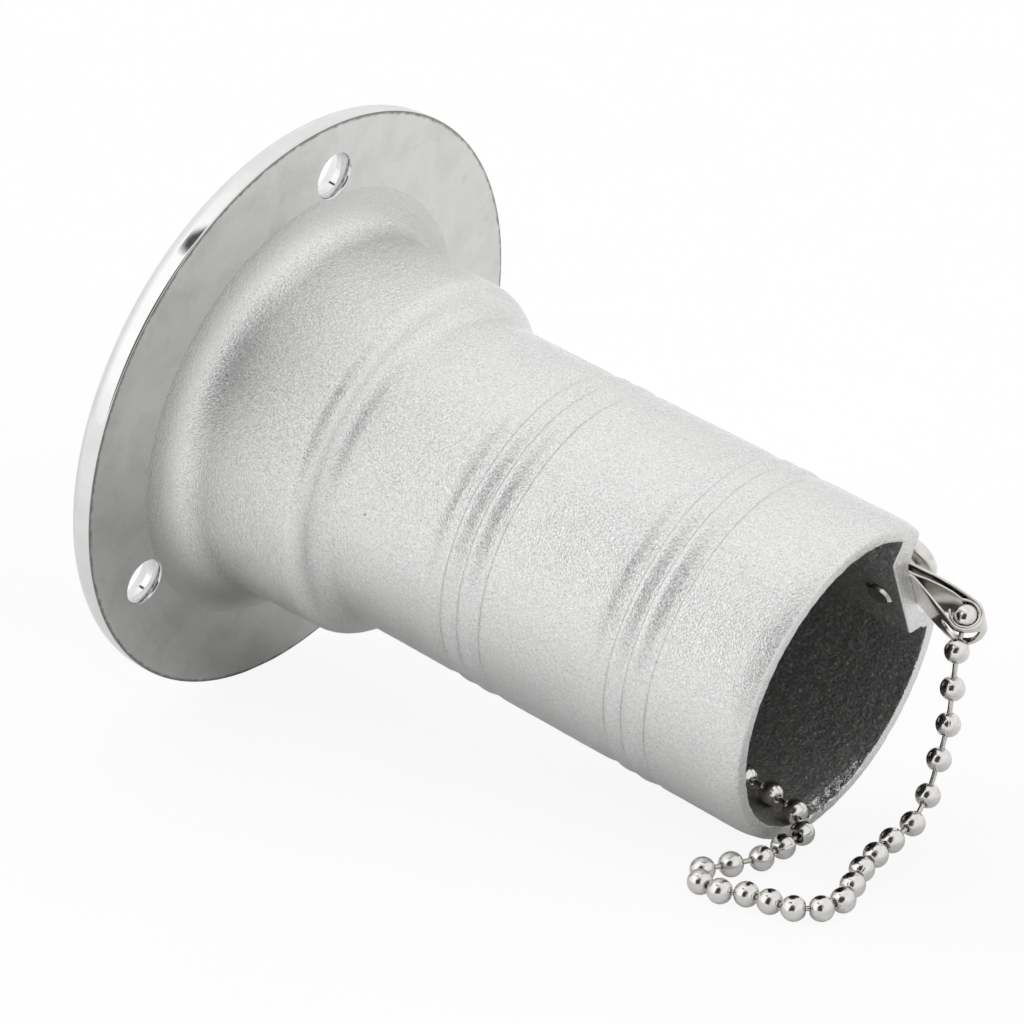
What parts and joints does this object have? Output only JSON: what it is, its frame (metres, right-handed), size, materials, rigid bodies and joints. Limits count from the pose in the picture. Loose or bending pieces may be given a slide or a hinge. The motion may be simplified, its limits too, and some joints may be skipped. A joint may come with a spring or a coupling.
{
  "type": "deck fill cap",
  "caption": "Round flanged deck filler with a straight barbed hose neck and a screw-in flush cap, kept from being lost by a ball chain.",
  "frame": {"origin": "centre of the flange's flat underside, on the axis of the neck", "axes": "+Z out of the deck through the cap, so the hose neck runs along -Z; the chain screw sits on the neck at 125.5 degrees from +X"},
  "size_m": [0.0956, 0.0956, 0.1282],
  "materials": {
    "cast_steel": "bead-blasted matte casting, with the flange rim mirror polished",
    "polished_steel": "mirror polished",
    "screw_steel": "bright turned, lightly worn",
    "clasp_steel": "bright rolled strip",
    "chain_bead_steel": "polished",
    "chain_pin_steel": "drawn wire",
    "seal_rubber": "smooth matte"
  },
  "bodies": {
    "neck_fixed": {"filler_body": "cast_steel", "neck_chain_screw": "screw_steel", "lip_beads": "chain_bead_steel", "lip_pins": "chain_pin_steel"},
    "neck_clasp_swivel": {"neck_clasp": "clasp_steel"},
    "clasp_end": {"clasp_bead": "chain_bead_steel"},
    "chain_loop": {"hanging_beads": "chain_bead_steel", "hanging_pins": "chain_pin_steel", "lying_beads": "chain_bead_steel", "lying_pins": "chain_pin_steel"},
    "cap_side_chain": {"cap_clasp": "clasp_steel", "cap_clasp_bead": "chain_bead_steel", "cap_strand_beads": "chain_bead_steel", "cap_strand_pins": "chain_pin_steel"},
    "cap_assembly": {"fill_cap": "polished_steel", "cap_o_ring": "seal_rubber", "cap_chain_screw": "screw_steel"},
    "strand_1": {"strand_1_beads": "chain_bead_steel", "strand_1_pins": "chain_pin_steel"},
    "strand_2": {"strand_2_beads": "chain_bead_steel", "strand_2_pins": "chain_pin_steel"},
    "strand_3": {"strand_3_beads": "chain_bead_steel", "strand_3_pins": "chain_pin_steel"},
    "strand_4": {"strand_4_beads": "chain_bead_steel", "strand_4_pins": "chain_pin_steel"},
    "strand_5": {"strand_5_beads": "chain_bead_steel", "strand_5_pins": "chain_pin_steel"},
    "strand_6": {"strand_6_beads": "chain_bead_steel", "strand_6_pins": "chain_pin_steel"}
  },
  "joints": [
    {"name": "cap_rise", "type": "slide", "parent": "neck_fixed", "child": "cap_side_chain", "axis": [0, 0, 1], "range_m": [0, 0.0056]},
    {"name": "cap_turn", "type": "hinge", "parent": "cap_side_chain", "child": "cap_assembly", "pos_m": [0, 0, 0], "axis": [0, 0, 1], "range_deg": [0, 792]},
    {"name": "strand_1_slide", "type": "slide", "parent": "neck_fixed", "child": "strand_1", "axis": [0, 0, 1], "range_m": [0, 0.0048]},
    {"name": "strand_2_slide", "type": "slide", "parent": "neck_fixed", "child": "strand_2", "axis": [0, 0, 1], "range_m": [0, 0.004]},
    {"name": "strand_3_slide", "type": "slide", "parent": "neck_fixed", "child": "strand_3", "axis": [0, 0, 1], "range_m": [0, 0.0032]},
    {"name": "strand_4_slide", "type": "slide", "parent": "neck_fixed", "child": "strand_4", "axis": [0, 0, 1], "range_m": [0, 0.0024]},
    {"name": "strand_5_slide", "type": "slide", "parent": "neck_fixed", "child": "strand_5", "axis": [0, 0, 1], "range_m": [0, 0.0016]},
    {"name": "strand_6_slide", "type": "slide", "parent": "neck_fixed", "child": "strand_6", "axis": [0, 0, 1], "range_m": [0, 0.0008]},
    {"name": "clasp_swivel", "type": "hinge", "parent": "neck_fixed", "child": "neck_clasp_swivel", "pos_m": [-0.01063, 0.0149, -0.097], "axis": [-0.5807, 0.8141, 0], "range_deg": [-5, 5]},
    {"name": "loop_follow", "type": "hinge", "parent": "neck_clasp_swivel", "child": "clasp_end", "pos_m": [-0.00928, 0.01525, -0.1106], "axis": [0.8658, 0.2622, 0.4261], "range_deg": [-2, 2]},
    {"name": "loop_swing", "type": "hinge", "parent": "clasp_end", "child": "chain_loop", "pos_m": [-0.00928, 0.01525, -0.1106], "axis": [0.206, -0.963, 0.174], "range_deg": [-8, 10]}
  ],
  "couplings": [
    {"joint": "cap_rise", "follows": "cap_turn", "m_per_rad": 0.00039789},
    {"joint": "strand_1_slide", "follows": "cap_turn", "m_per_rad": 0.00034105},
    {"joint": "strand_2_slide", "follows": "cap_turn", "m_per_rad": 0.00028421},
    {"joint": "strand_3_slide", "follows": "cap_turn", "m_per_rad": 0.00022736},
    {"joint": "strand_4_slide", "follows": "cap_turn", "m_per_rad": 0.00017052},
    {"joint": "strand_5_slide", "follows": "cap_turn", "m_per_rad": 0.00011368},
    {"joint": "strand_6_slide", "follows": "cap_turn", "m_per_rad": 0.000056841},
    {"joint": "loop_follow", "follows": "clasp_swivel", "ratio": 0.37724}
  ]
}
